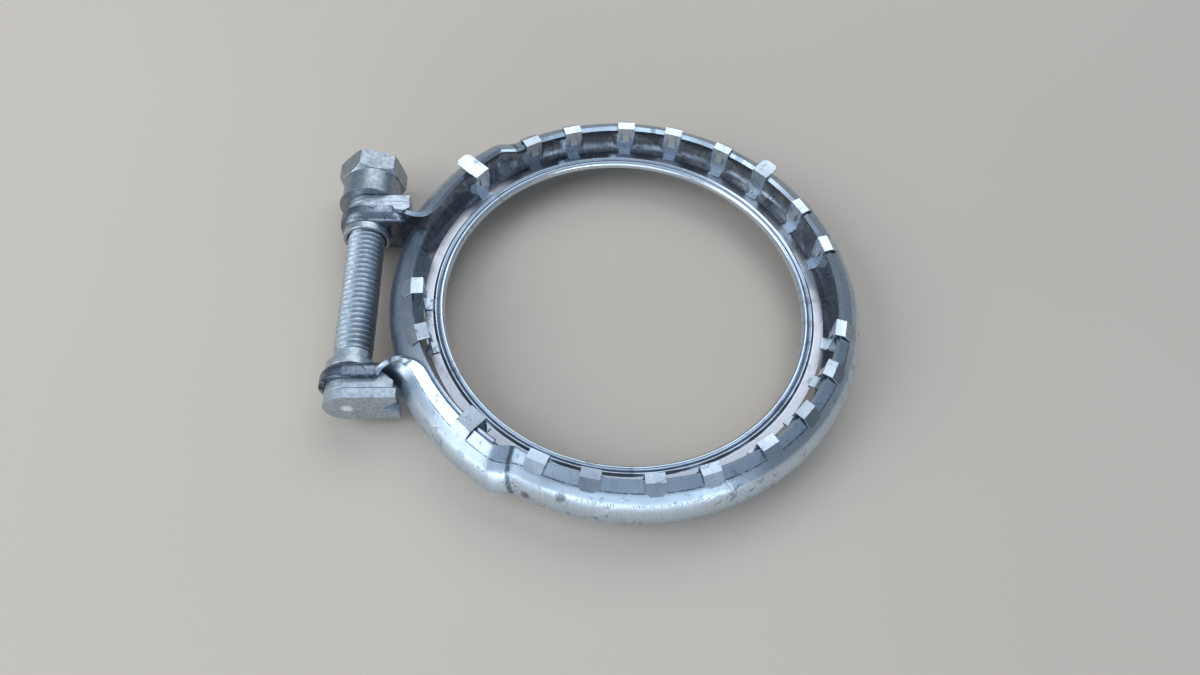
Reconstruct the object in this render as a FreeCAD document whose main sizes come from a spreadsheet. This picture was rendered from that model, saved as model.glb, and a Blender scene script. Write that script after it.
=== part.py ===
import FreeCAD, Part
import math
import os
import re
import Sketcher

# Exhaust clamp: a one-piece strap of V-groove section that pulls two pipe flanges together,
# with a ring gasket that spring clips hold in the groove, and a T-bolt with a collar nut.
# Millimetres. The origin is on the axis of the gasket bore, level with the middle of the groove.
# +Z is the axis of the ring, the bolt lies along Y on the -X side, and the nut is at its +Y end.

SIZES = [
    # gasket ring
    ("bore_dia", 77.0, "inside of the gasket lip"),
    ("flange_width", 4.5, "width of the gasket from its bore to its rim"),
    ("gasket_sheet", 0.5, "thickness of the gasket sheet"),
    ("lip_drop", 0.25, "top of the lip under the top of the flange"),
    ("lip_height", 0.9, "height of the lip at the bore"),
    ("lip_run", 0.75, "distance from the bore to the crest of the first bead"),
    ("bead_rise", 0.65, "height of the two beads over the flange"),
    ("bead_valley", 0.1, "height of the valley between the two beads"),
    ("bead_pitch", 1.15, "distance between the crests of the two beads"),
    ("flange_level", 0.35, "top of the gasket flange over the middle of the groove"),
    # strap
    ("strap_sheet", 1.0, "thickness of the strap"),
    ("strap_height", 14.6, "width of the strap along the ring axis"),
    ("edge_gap", 2.1, "distance from the rim of the gasket to the outer corner of the strap edge"),
    ("flank_run", 1.5, "radial run of the flank to its first crease"),
    ("flank_drop", 1.25, "height of the flank from its edge to the first crease"),
    ("shoulder_run", 1.8, "radial run from the first crease to the second"),
    ("shoulder_drop", 1.85, "height from the first crease to the second"),
    ("crown_bulge", 1.5, "how far the crown stands out between the second creases"),
    ("knee_share", 0.42, "half width of the flat of the crown, as a share of its whole half width"),
    ("knee_drop", 0.08, "how far the crown has fallen at the end of its flat, as a share of its bulge"),
    ("strap_shift", 0.8, "strap axis from the gasket axis, away from the bolt"),
    ("joggle_foot", 58.5, "half angle from the bolt side to the foot of the joggle"),
    ("joggle_top", 53.0, "half angle from the bolt side to the top of the joggle"),
    ("joggle_step", 2.0, "how far the ends of the strap stand outside the rest"),
    # ears
    ("bend_angle", 26.0, "half angle at which the ends start to turn out"),
    ("ear_gap", 35.4, "distance between the ears"),
    ("ear_rim", 2.5, "height of the rim over the floor of the ear"),
    ("ear_half", 5.95, "half height of an ear"),
    ("ear_corner", 0.6, "slanting corner between floor and rim of the ear"),
    ("ear_root", 6.3, "where the full rim of the ear begins, from the bolt axis"),
    # bridge across the gap between the ends of the strap
    ("bridge_sheet", 0.6, "thickness of the bridge"),
    ("bridge_play", 0.06, "clearance of the bridge under the strap"),
    ("bridge_short", 0.6, "angle by which the bridge ends short of the lower joggle"),
    ("bridge_clear", 6.0, "angle by which the free end of the bridge stops short of the upper bend"),
    ("trim_run", 4.2, "length of the slanting cuts at the free end of the bridge"),
    ("trim_drop", 3.3, "depth of the slanting cuts at the free end of the bridge"),
    # bolt, nut and thrust plates
    ("bolt_gap", 11.4, "distance from the strap edge to the bolt axis"),
    ("thread_dia", 8.0, "major diameter of the bolt thread"),
    ("neck_dia", 7.7, "smooth neck between thread and head"),
    ("neck_end", 13.4, "end of the neck from the middle of the gap"),
    ("bolt_chamfer", 0.7, "chamfer at the end of the thread"),
    ("bolt_inset", 0.8, "end of the bolt inside the end of the nut"),
    ("head_length", 2.1, "thickness of the T-head"),
    ("head_reach", 10.0, "flat end of the T-head from the bolt axis"),
    ("notch_depth", 3.0, "depth of the V notch in the T-head"),
    ("notch_width", 5.4, "width of the V notch in the T-head"),
    ("mark_dia", 2.4, "diameter of the centre mark in the T-head"),
    ("mark_depth", 0.6, "depth of the centre mark"),
    ("thrust_length", 4.6, "thickness of the thrust plate in an ear"),
    ("cover_length", 1.9, "thickness of the second plate under the nut"),
    ("plate_reach", 9.4, "flat end of a plate from the bolt axis"),
    ("plate_play", 0.25, "clearance of a plate inside the rim of the ear"),
    ("plate_chamfer", 0.4, "chamfer of a plate where it sits on the floor of the ear"),
    ("relief_run", 3.4, "slope at the end of a plate, along the ear"),
    ("relief_rise", 3.0, "slope at the end of a plate, along the bolt"),
    ("seat_play", 0.05, "gap between two pieces stacked on the bolt"),
    ("hole_play", 0.25, "clearance of the bolt in plates and bushes"),
    ("bush_dia", 10.1, "outside of a bush"),
    ("bush_stand", 1.8, "how far a bush stands out of its ear"),
    ("spigot_dia", 9.3, "spigot of a bush through its ear"),
    ("spigot_play", 0.05, "clearance of the spigot in the ear"),
    ("nut_flats", 13.0, "across the flats of the nut"),
    ("nut_length", 11.3, "whole length of the nut"),
    ("nut_cone", 0.9, "length of the cone from the collar to the hexagon"),
    ("nut_hex_length", 4.2, "length of the hexagon"),
    ("nut_chamfer", 0.75, "chamfer at the corners of the hexagon"),
    ("nut_collar_dia", 12.7, "collar of the nut"),
    ("nut_foot_dia", 13.6, "foot of the nut"),
    ("nut_foot_length", 0.6, "length of the foot of the nut"),
    ("nut_turn", 45.0, "turn of the hexagon about its axis"),
    ("thread_play", 0.06, "clearance of the nut on the thread"),
    ("cut_over", 1.0, "how far the cut of the flats starts past the nut"),
    # spring clips
    ("clip_sheet", 0.3, "thickness of a clip"),
    ("clip_width", 3.9, "width of a clip"),
    ("clip_neck", 2.8, "width of the neck at its foot"),
    ("neck_top", 1.9, "top of the neck over the middle of the groove"),
    ("clip_lift", 0.12, "clearance of a clip over the edge"),
    ("clip_seat", 0.05, "clearance of the foot over the gasket"),
    ("leg_gap", 0.3, "distance from the rim of the gasket to the middle of the leg"),
    ("clip_tab", 2.6, "length of the outer tab"),
    ("tab_corner", 0.8, "cut corner of the outer tab"),
    ("clip_foot", 1.3, "length of the foot on the gasket"),
    ("wing_turn", 45.0, "how far a wing is bent back"),
    ("wing_reach", 1.1, "reach of a wing to the side and outward"),
    ("wing_low", 2.0, "lower end of a wing over the middle of the groove"),
    ("wing_high", 5.8, "upper end of a wing over the middle of the groove"),
    ("wing_slope", 1.2, "how much a wing narrows at each end"),
    ("tongue_width", 1.7, "width of the tongue"),
    ("tongue_stand", 0.5, "how far the tongue stands out of the leg"),
    ("tongue_low", 4.1, "free end of the tongue over the middle of the groove"),
    ("tongue_high", 6.1, "root of the tongue over the middle of the groove"),
    ("slit", 0.15, "gap beside the tongue"),
    ("tab_flare", 42.0, "how far an open tab is bent up"),
]

# Radii that follow from the sizes: rim of the gasket, edge of the strap, leg of a clip, axis of the bolt.
RIM = "(bore_dia / 2 + flange_width)"
EDGE = "(%s + edge_gap)" % RIM
LEG = "(%s + leg_gap)" % RIM
BOLT = "(%s + bolt_gap)" % EDGE

# The stretches that carry clips, as angles from the side away from the bolt, by the share of the way along.
STRETCHES = {
    "ring": "(180 - joggle_foot) * (1 - 2 * %s)",
    "upper_end": "180 - joggle_top + (joggle_top - bend_angle) * %s",
    "lower_end": "180 + joggle_top - (joggle_top - bend_angle) * %s",
    "bridge": "180 + bend_angle * %s",
}

# The clips in order round the ring: stretch, share of the way along it, and form.
CLIPS = [
    ("upper_end", 0.389, "end_open"), ("ring", 0.0144, "strap"), ("ring", 0.0683, "strap"),
    ("ring", 0.1366, "strap"), ("ring", 0.1963, "strap"), ("ring", 0.2613, "strap"),
    ("ring", 0.3193, "plain_open"), ("ring", 0.3864, "strap"), ("ring", 0.4461, "strap"),
    ("ring", 0.5634, "strap"), ("ring", 0.6181, "strap"), ("ring", 0.6786, "strap"),
    ("ring", 0.7362, "strap"), ("ring", 0.8037, "strap"), ("ring", 0.8605, "strap"),
    ("ring", 0.9243, "strap"), ("ring", 0.9794, "strap"), ("lower_end", 0.315, "end"),
    ("bridge", 0.619, "bridge"), ("bridge", 0.0615, "bridge"),
]

doc = FreeCAD.newDocument("exhaust_clamp")
sheet = doc.addObject("Spreadsheet::Sheet", "sizes")
for number, (stretch, share, form) in enumerate(CLIPS, start=1):
    SIZES.append(("clip_share_%02d" % number, share, "place of clip %d along its stretch" % number))
for row, (alias, value, note) in enumerate(SIZES, start=1):
    sheet.set("A%d" % row, alias)
    sheet.set("B%d" % row, str(value))
    sheet.set("C%d" % row, note)
    sheet.setAlias("B%d" % row, alias)
doc.recompute()

ALIASES = {alias for alias, value, note in SIZES}
PARTS = {}


def named(expression):
    """The expression with the sheet's name put before each alias."""
    def prefix(match):
        word = match.group()
        return "sizes." + word if word in ALIASES else word
    return re.sub(r"[a-z_][a-z_0-9]*", prefix, expression)


def size(expression):
    """Value of an expression of the sheet's aliases."""
    return float(sheet.evalExpression(named(expression)))


def bind(target, name, expression):
    """Give a property of an object its value and bind it to the sheet."""
    setattr(target, name, size(expression))
    target.setExpression(name, named(expression))


# Sketches and features

def origin_feature(body, role):
    return next(feature for feature in body.Origin.OriginFeatures if feature.Role == role)


def new_body(name):
    body = doc.addObject("PartDesign::Body", name)
    body.Label = name
    return body


def sketch_on(body, name, role, level="0"):
    """Empty sketch on an origin plane of the body, moved by level along the plane's normal."""
    sketch = body.newObject("Sketcher::SketchObject", name)
    sketch.AttachmentSupport = (origin_feature(body, role), [""])
    sketch.MapMode = "FlatFace"
    sketch.AttachmentOffset = FreeCAD.Placement(FreeCAD.Vector(0, 0, size(level)), FreeCAD.Rotation())
    sketch.setExpression("AttachmentOffset.Base.z", named(level))
    return sketch


def hold_point(sketch, edge, end, across, up):
    """Hold one end of an edge at its two distances from the sketch's origin."""
    for kind, expression in (("DistanceX", across), ("DistanceY", up)):
        if expression == "0":
            axis = -2 if kind == "DistanceX" else -1
            sketch.addConstraint(Sketcher.Constraint("PointOnObject", edge, end, axis))
        else:
            rule = sketch.addConstraint(Sketcher.Constraint(kind, -1, 1, edge, end, size(expression)))
            sketch.setExpression("Constraints[%d]" % rule, named(expression))


def draw_outline(sketch, points):
    """Closed outline of straight sides through points."""
    places = [FreeCAD.Vector(size(across), size(up), 0) for across, up in points]
    edges = []
    for index, start in enumerate(places):
        end = places[(index + 1) % len(places)]
        edges.append(sketch.addGeometry(Part.LineSegment(start, end)))
    for index, edge in enumerate(edges):
        after = edges[(index + 1) % len(edges)]
        sketch.addConstraint(Sketcher.Constraint("Coincident", edge, 2, after, 1))
    for edge, (across, up) in zip(edges, points):
        hold_point(sketch, edge, 1, across, up)


def draw_circle(sketch, radius):
    """Circle about the sketch's origin."""
    edge = sketch.addGeometry(Part.Circle(FreeCAD.Vector(), FreeCAD.Vector(0, 0, 1), size(radius)))
    sketch.addConstraint(Sketcher.Constraint("Coincident", edge, 3, -1, 1))
    rule = sketch.addConstraint(Sketcher.Constraint("Radius", edge, size(radius)))
    sketch.setExpression("Constraints[%d]" % rule, named(radius))


def outline(body, name, role, points, level="0"):
    sketch = sketch_on(body, name, role, level)
    draw_outline(sketch, points)
    return sketch


def pad(body, name, sketch, length, side="One side"):
    feature = body.newObject("PartDesign::Pad", name)
    feature.Profile = sketch
    feature.SideType = side
    bind(feature, "Length", length)
    return feature


def pocket(body, name, sketch, length=None):
    """Cut to both sides of the sketch, right through unless a length is given."""
    feature = body.newObject("PartDesign::Pocket", name)
    feature.Profile = sketch
    feature.SideType = "Symmetric"
    if length:
        bind(feature, "Length", length)
    else:
        feature.Type = "ThroughAll"
    return feature


def revolve(body, name, sketch, axis, angle="360"):
    feature = body.newObject("PartDesign::Revolution", name)
    feature.Profile = sketch
    feature.ReferenceAxis = (origin_feature(body, axis), [""])
    feature.Midplane = True
    bind(feature, "Angle", angle)
    return feature


def groove(body, name, sketch, axis):
    feature = body.newObject("PartDesign::Groove", name)
    feature.Profile = sketch
    feature.ReferenceAxis = (origin_feature(body, axis), [""])
    feature.Angle = 360
    return feature


def keep(name, part, along_x="0", turn="0"):
    """Count an object as a sub-part, placed along X and turned about Z by bound expressions."""
    part.Label = name
    place = FreeCAD.Vector(size(along_x), 0, 0)
    part.Placement = FreeCAD.Placement(place, FreeCAD.Rotation(FreeCAD.Vector(0, 0, 1), size(turn)))
    part.setExpression("Placement.Base.x", named(along_x))
    part.setExpression("Placement.Rotation.Angle", named(turn))
    PARTS[name] = part


# Gasket ring: a thin sheet turned about Z, with a lip, two beads and a flat flange

def gasket_ring():
    body = new_body("gasket_ring")
    crest = "bore_dia / 2 + lip_run"
    sheet_line = [
        (crest, "flange_level + bead_rise"),
        (crest + " + bead_pitch / 2", "flange_level + bead_valley"),
        (crest + " + bead_pitch", "flange_level + bead_rise"),
        (crest + " + bead_pitch * 3 / 2", "flange_level"),
        (RIM, "flange_level"),
    ]
    under = [
        (RIM, "flange_level - gasket_sheet"),
        (crest + " + bead_pitch / 2", "flange_level - gasket_sheet"),
    ]
    lip_top = ("bore_dia / 2", "flange_level - lip_drop")
    lip_end = ("bore_dia / 2", "flange_level - lip_drop - lip_height")
    profile = outline(body, "gasket_profile", "XZ_Plane", [lip_top] + sheet_line + under + [lip_end])
    revolve(body, "gasket_turned", profile, "Z_Axis")
    keep("gasket_ring", body)


# Section of the strap. Its outer line runs from the edge over two creases and a knee to the flat crown.

HALF = "strap_height / 2"
CREASE = (EDGE + " + flank_run", HALF + " - flank_drop")
SHOULDER = (EDGE + " + flank_run + shoulder_run", HALF + " - flank_drop - shoulder_drop")
FLANK_ANGLE = "atan(flank_drop / flank_run)"
SHOULDER_ANGLE = "atan(shoulder_drop / shoulder_run)"
KNEE = (SHOULDER[0] + " + crown_bulge * (1 - knee_drop)", "(%s) * knee_share" % SHOULDER[1])
KNEE_ANGLE = "atan((%s) * (1 - knee_share) / (crown_bulge * (1 - knee_drop)))" % SHOULDER[1]
CROWN_ANGLE = "90 deg"


def shifted(point, first, second, depth):
    """Corner of the line moved inward by depth, between two runs that fall at the given angles."""
    across, up = point
    middle = "(%s + %s) / 2" % (first, second)
    reach = "(%s) / cos((%s - %s) / 2)" % (depth, first, second)
    return ("%s - %s * sin(%s)" % (across, reach, middle), "%s - %s * cos(%s)" % (up, reach, middle))


def mirrored(points):
    """The same points below the middle plane, in the other order."""
    return [(across, "-(%s)" % up) for across, up in reversed(points)]


def bridge_piece():
    """Thin sheet of the strap's own section, nested in its lower end, with its free end by the upper bend."""
    body = new_body("bridge_piece")
    outer = "strap_sheet + bridge_play"
    inner = outer + " + bridge_sheet"
    edge = EDGE + " + joggle_step"
    top = ("%s - (%s) / sin(%s)" % (edge, outer, FLANK_ANGLE), HALF)
    crease = (CREASE[0] + " + joggle_step", CREASE[1])
    shoulder = (SHOULDER[0] + " + joggle_step", SHOULDER[1])
    knee = (KNEE[0] + " + joggle_step", KNEE[1])
    outside = [
        top,
        shifted(crease, FLANK_ANGLE, SHOULDER_ANGLE, outer),
        shifted(shoulder, SHOULDER_ANGLE, KNEE_ANGLE, outer),
        shifted(knee, KNEE_ANGLE, CROWN_ANGLE, outer),
    ]
    within = [
        shifted(knee, KNEE_ANGLE, CROWN_ANGLE, inner),
        shifted(shoulder, SHOULDER_ANGLE, KNEE_ANGLE, inner),
        shifted(crease, FLANK_ANGLE, SHOULDER_ANGLE, inner),
        shifted(top, FLANK_ANGLE, FLANK_ANGLE, "bridge_sheet"),
    ]
    line = outside + mirrored(outside) + mirrored(within) + within
    profile = outline(body, "bridge_profile", "XZ_Plane", line)
    turned = revolve(body, "bridge_turned", profile, "Z_Axis", "joggle_top - bridge_short")
    turned.Midplane = False
    turned.Type = "TwoAngles"
    bind(turned, "Angle2", "bend_angle - bridge_clear")
    free_end = "-(%s) * sin(bend_angle - bridge_clear)" % shifted(knee, KNEE_ANGLE, CROWN_ANGLE, outer)[0]
    trim = sketch_on(body, "bridge_trim_outline", "YZ_Plane")
    for sign in ("", "-"):
        low = "%s(%s - trim_drop)" % (sign, HALF)
        high = "%s(%s + trim_drop)" % (sign, HALF)
        draw_outline(trim, [
            (free_end + " - trim_run", low),
            (free_end, low),
            (free_end + " + 2 * trim_run", high),
            (free_end + " - trim_run", high),
        ])
    pocket(body, "bridge_trim", trim)
    keep("bridge_piece", body, "strap_shift", "180")


# Plates and bushes on the bolt. Each is drawn about the bolt axis, in the middle of the gap,
# so that its own origin is where the bolt axis crosses the middle of the gap.

WEB_INSIDE = "ear_gap / 2"
WEB_OUTSIDE = "ear_gap / 2 + strap_sheet"
THRUST_START = WEB_OUTSIDE + " + seat_play"
THRUST_END = THRUST_START + " + thrust_length"
COVER_START = THRUST_END + " + seat_play"
COVER_END = COVER_START + " + cover_length"
NUT_START = COVER_END + " + seat_play"
NUT_END = NUT_START + " + nut_length"
PLATE_HALF = "(ear_half - strap_sheet - plate_play)"


def draw_plate(sketch, reach):
    """D-shaped outline: round about the bolt axis, flat at its end towards the ring."""
    half = size(PLATE_HALF)
    top = FreeCAD.Vector(0, half, 0)
    low = FreeCAD.Vector(0, -half, 0)
    far_low = FreeCAD.Vector(size(reach), -half, 0)
    far_top = FreeCAD.Vector(size(reach), half, 0)
    arc = sketch.addGeometry(Part.Arc(top, FreeCAD.Vector(-half, 0, 0), low))
    lower = sketch.addGeometry(Part.LineSegment(low, far_low))
    flat = sketch.addGeometry(Part.LineSegment(far_low, far_top))
    upper = sketch.addGeometry(Part.LineSegment(far_top, top))
    for first, second in ((arc, lower), (lower, flat), (flat, upper), (upper, arc)):
        sketch.addConstraint(Sketcher.Constraint("Coincident", first, 2, second, 1))
    sketch.addConstraint(Sketcher.Constraint("Coincident", arc, 3, -1, 1))
    sketch.addConstraint(Sketcher.Constraint("Horizontal", lower))
    sketch.addConstraint(Sketcher.Constraint("Horizontal", upper))
    sketch.addConstraint(Sketcher.Constraint("PointOnObject", lower, 1, -2))
    sketch.addConstraint(Sketcher.Constraint("PointOnObject", upper, 2, -2))
    sketch.addConstraint(Sketcher.Constraint("Vertical", flat))
    hold_radius = sketch.addConstraint(Sketcher.Constraint("Radius", arc, half))
    sketch.setExpression("Constraints[%d]" % hold_radius, named(PLATE_HALF))
    hold_reach = sketch.addConstraint(Sketcher.Constraint("DistanceX", -1, 1, flat, 1, size(reach)))
    sketch.setExpression("Constraints[%d]" % hold_reach, named(reach))


def plate_pad(body, name, reach, side, start, end, hole=None):
    """D-shaped slab between two distances from the middle of the gap, on the side given by +1 or -1."""
    level = "-(%s)" % end if side > 0 else start
    sketch = sketch_on(body, name + "_outline", "XZ_Plane", level)
    draw_plate(sketch, reach)
    if hole:
        draw_circle(sketch, hole)
    return pad(body, name, sketch, "(%s) - (%s)" % (end, start))


def thrust_plate(name, side):
    """Thick plate that sits in an ear; its end slopes to clear the bend of the strap."""
    body = new_body(name)
    hole = "thread_dia / 2 + hole_play"
    slab = plate_pad(body, name + "_slab", "plate_reach", side, THRUST_START, THRUST_END, hole)
    chamfer_floor(body, name, slab, side)
    start = "%d * (%s)" % (side, THRUST_START)
    over = "%d * (%s - seat_play)" % (side, THRUST_START)
    slope = [
        ("plate_reach - relief_run", start),
        ("plate_reach - relief_run", over),
        ("plate_reach + relief_run", over),
        ("plate_reach + relief_run", "%s + %d * 2 * relief_rise" % (start, side)),
    ]
    pocket(body, name + "_slope", outline(body, name + "_slope_outline", "XY_Plane", slope))
    keep(name, body, "-" + BOLT)


def chamfer_floor(body, name, slab, side):
    """Chamfer the outline of a plate on its side towards the gap, for the inner corner of the ear."""
    doc.recompute()
    level = side * size(THRUST_START)
    edges = []
    for index, edge in enumerate(slab.Shape.Edges, start=1):
        flat = abs(edge.BoundBox.YMin - level) < 1e-3 and abs(edge.BoundBox.YMax - level) < 1e-3
        if flat and edge.BoundBox.ZMax > size("thread_dia") / 2 + size("plate_chamfer"):
            edges.append("Edge%d" % index)
        elif flat and edge.BoundBox.ZMin < -size("thread_dia") / 2 - size("plate_chamfer"):
            edges.append("Edge%d" % index)
    feature = body.newObject("PartDesign::Chamfer", name + "_floor_edge")
    feature.Base = (slab, edges)
    bind(feature, "Size", "plate_chamfer")


def cover_plate():
    """Thinner plate between the thick plate and the nut."""
    body = new_body("upper_thrust_plate_outer")
    hole = "thread_dia / 2 + hole_play"
    plate_pad(body, "cover_slab", "plate_reach", 1, COVER_START, COVER_END, hole)
    keep("upper_thrust_plate_outer", body, "-" + BOLT)


def bush(name, side):
    """Turned bush whose spigot fills the hole of an ear and whose collar stands in the gap."""
    body = new_body(name)
    sign = "%d * " % side
    inner = "thread_dia / 2 + hole_play"
    stand = sign + "(%s - bush_stand)" % WEB_INSIDE
    profile = [
        (inner, stand),
        ("bush_dia / 2", stand),
        ("bush_dia / 2", sign + "(%s)" % WEB_INSIDE),
        ("spigot_dia / 2", sign + "(%s)" % WEB_INSIDE),
        ("spigot_dia / 2", sign + "(%s)" % WEB_OUTSIDE),
        (inner, sign + "(%s)" % WEB_OUTSIDE),
    ]
    revolve(body, name + "_turned", outline(body, name + "_profile", "XY_Plane", profile), "Y_Axis")
    keep(name, body, "-" + BOLT)


def t_bolt():
    """Shank with a smooth neck and a flat T-head that a V notch and a centre mark are cut in."""
    body = new_body("t_bolt")
    head_start = THRUST_END + " + seat_play"
    head_end = head_start + " + head_length"
    tip = "%s - bolt_inset" % NUT_END
    plate_pad(body, "head", "head_reach", -1, head_start, head_end)
    shank = [
        ("0", "-(%s) - head_length / 2" % head_start),
        ("neck_dia / 2", "-(%s) - head_length / 2" % head_start),
        ("neck_dia / 2", "-neck_end - (thread_dia - neck_dia) / 2"),
        ("thread_dia / 2", "-neck_end"),
        ("thread_dia / 2", tip + " - bolt_chamfer"),
        ("thread_dia / 2 - bolt_chamfer", tip),
        ("0", tip),
    ]
    revolve(body, "shank", outline(body, "shank_profile", "XY_Plane", shank), "Y_Axis")
    notch = [
        ("head_reach - notch_depth", "0"),
        ("head_reach + notch_depth", "-notch_width"),
        ("head_reach + notch_depth", "notch_width"),
    ]
    level = head_start + " + head_length / 2"
    pocket(body, "notch", outline(body, "notch_outline", "XZ_Plane", notch, level), "2 * head_length")
    mark = [
        ("0", "-(%s)" % head_end),
        ("mark_dia / 2", "-(%s)" % head_end),
        ("0", "-(%s) + mark_depth" % head_end),
    ]
    groove(body, "centre_mark", outline(body, "mark_profile", "XY_Plane", mark), "Y_Axis")
    keep("t_bolt", body, "-" + BOLT)


def collar_nut():
    """Nut turned with a foot, a collar and a cone, with a hexagon at its outer end."""
    body = new_body("collar_nut")
    bore = "thread_dia / 2 + thread_play"
    corner = "nut_flats / 2 / cos(30)"
    hex_start = NUT_END + " - nut_hex_length"
    turned = [
        (bore, NUT_START),
        ("nut_foot_dia / 2", NUT_START),
        ("nut_foot_dia / 2", NUT_START + " + nut_foot_length / 2"),
        ("nut_collar_dia / 2", NUT_START + " + nut_foot_length"),
        ("nut_collar_dia / 2", hex_start + " - nut_cone"),
        (corner, hex_start),
        (corner, NUT_END + " - nut_chamfer * tan(30)"),
        (corner + " - nut_chamfer", NUT_END),
        (bore, NUT_END),
    ]
    revolve(body, "nut_turned", outline(body, "nut_profile", "XY_Plane", turned), "Y_Axis")
    flats = sketch_on(body, "nut_flats_outline", "XZ_Plane", "-(%s + cut_over)" % NUT_END)
    draw_hexagon(flats, "nut_flats / 2 / cos(30)")
    draw_circle(flats, "nut_flats")
    feature = pocket(body, "nut_flats_cut", flats, "2 * (nut_hex_length + nut_cone + cut_over)")
    feature.Refine = True
    keep("collar_nut", body, "-" + BOLT)


def draw_hexagon(sketch, corner):
    """Hexagon about the sketch's origin, turned by nut_turn, with its corners at the radius given."""
    angles = ["nut_turn + %d" % (60 * index) for index in range(6)]
    draw_outline(sketch, [("%s * cos(%s)" % (corner, turn), "%s * sin(%s)" % (corner, turn)) for turn in angles])


# Spring clips

def clip(name, form, turn):
    """Bent strip that hooks over the edge of a sheet and rests its foot on the gasket."""
    edges = {
        "strap": EDGE,
        "plain_open": EDGE,
        "end": "(%s + joggle_step)" % EDGE,
        "end_open": "(%s + joggle_step)" % EDGE,
        "bridge": "(%s + joggle_step - (strap_sheet + bridge_play) / sin(%s))" % (EDGE, FLANK_ANGLE),
    }
    flare = " - tab_flare * 1 deg" if form.endswith("open") else ""
    body = new_body(name)
    tab = clip_strip(body, name, edges[form], "(%s%s)" % (FLANK_ANGLE, flare))
    cut_tab(body, name, tab)
    if form != "plain_open":
        clip_wings(body, name)
        clip_tongue(body, name)
    clip_neck(body, name)
    keep(name, body, "strap_shift", turn)


def clip_strip(body, name, edge, fall):
    """The bent strip: tab over the edge, flat top, leg and foot."""
    top = HALF + " + clip_lift"
    hook = "%s + clip_lift * tan(%s / 2)" % (edge, FLANK_ANGLE)
    foot = "flange_level + clip_seat"
    tip = ("%s + clip_tab * cos(%s)" % (hook, fall), "%s - clip_tab * sin(%s)" % (top, fall))
    strip = [
        tip,
        (hook, top),
        (LEG + " + clip_sheet / 2", top),
        (LEG + " + clip_sheet / 2", foot),
        (LEG + " - clip_sheet / 2 - clip_foot", foot),
        (LEG + " - clip_sheet / 2 - clip_foot", foot + " + clip_sheet"),
        (LEG + " - clip_sheet / 2", foot + " + clip_sheet"),
        (LEG + " - clip_sheet / 2", top + " + clip_sheet"),
        ("%s + clip_sheet * tan(%s / 2)" % (hook, fall), top + " + clip_sheet"),
        ("%s + clip_sheet * sin(%s)" % (tip[0], fall), "%s + clip_sheet * cos(%s)" % (tip[1], fall)),
    ]
    return pad(body, name + "_strip", outline(body, name + "_line", "XZ_Plane", strip), "clip_width", "Symmetric")


def cut_tab(body, name, strip):
    """Cut the two corners at the free end of the tab."""
    doc.recompute()
    sheet_edges = {}
    for index, edge in enumerate(strip.Shape.Edges, start=1):
        if abs(edge.Length - size("clip_sheet")) < 1e-4:
            sheet_edges["Edge%d" % index] = edge.CenterOfMass.x
    outermost = max(sheet_edges.values())
    feature = body.newObject("PartDesign::Chamfer", name + "_tab_corners")
    feature.Base = (strip, [edge for edge, place in sheet_edges.items() if place > outermost - 1e-3])
    bind(feature, "Size", "tab_corner")


def clip_wings(body, name):
    """Barbs bent back from both sides of the leg, each narrowing to its outer end."""
    side = "clip_width / 2"
    inside = LEG + " - clip_sheet / 2"
    slant = "clip_sheet * cos(wing_turn)"
    sketch = sketch_on(body, name + "_wing_plan", "XY_Plane", "wing_low")
    for sign in ("", "-"):
        points = [
            (inside, "%s(%s)" % (sign, side)),
            (inside + " + wing_reach", "%s(%s + wing_reach)" % (sign, side)),
            ("%s + wing_reach + %s" % (inside, slant), "%s(%s + wing_reach - %s)" % (sign, side, slant)),
            (LEG + " + clip_sheet / 2", "%s(%s - clip_sheet * tan(wing_turn / 2))" % (sign, side)),
        ]
        draw_outline(sketch, points)
    pad(body, name + "_wings", sketch, "wing_high - wing_low")
    trim = sketch_on(body, name + "_wing_trim", "XZ_Plane")
    start = LEG + " + clip_sheet / 2"
    end = start + " + wing_reach"
    draw_outline(trim, [(start, "wing_high"), (end, "wing_high"), (end, "wing_high - wing_slope")])
    draw_outline(trim, [(start, "wing_low"), (end, "wing_low + wing_slope"), (end, "wing_low")])
    pocket(body, name + "_wing_slopes", trim)


def clip_tongue(body, name):
    """Tongue cut free on three sides and bent out towards the bore."""
    front = LEG + " - clip_sheet / 2"
    back = LEG + " + clip_sheet / 2"
    window = [
        (LEG + " - clip_sheet", "tongue_low - slit"),
        (LEG + " + clip_sheet", "tongue_low - slit"),
        (LEG + " + clip_sheet", "tongue_high"),
        (LEG + " - clip_sheet", "tongue_high"),
    ]
    opening = outline(body, name + "_window_outline", "XZ_Plane", window)
    pocket(body, name + "_window", opening, "tongue_width + 2 * slit")
    strip = [
        (front, "tongue_high + slit"),
        (front + " - tongue_stand", "tongue_low"),
        (back + " - tongue_stand", "tongue_low"),
        (back, "tongue_high + slit"),
    ]
    tongue = outline(body, name + "_tongue_line", "XZ_Plane", strip)
    pad(body, name + "_tongue", tongue, "tongue_width", "Symmetric")


def clip_neck(body, name):
    """Narrow the lower end of the leg and the foot."""
    shoulder = "neck_top - (clip_width - clip_neck) / 2"
    sketch = sketch_on(body, name + "_neck_outline", "YZ_Plane")
    for sign in ("", "-"):
        points = [
            (sign + "(clip_neck / 2)", "0"),
            (sign + "clip_width", "0"),
            (sign + "clip_width", "neck_top"),
            (sign + "(clip_width / 2)", "neck_top"),
            (sign + "(clip_neck / 2)", shoulder),
        ]
        draw_outline(sketch, points)
    pocket(body, name + "_neck", sketch)


# Strap: its ring part is turned, and its ends are sheets folded from the V section to an ear.

def blend(first, second, share):
    return first + (second - first) * share


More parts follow.
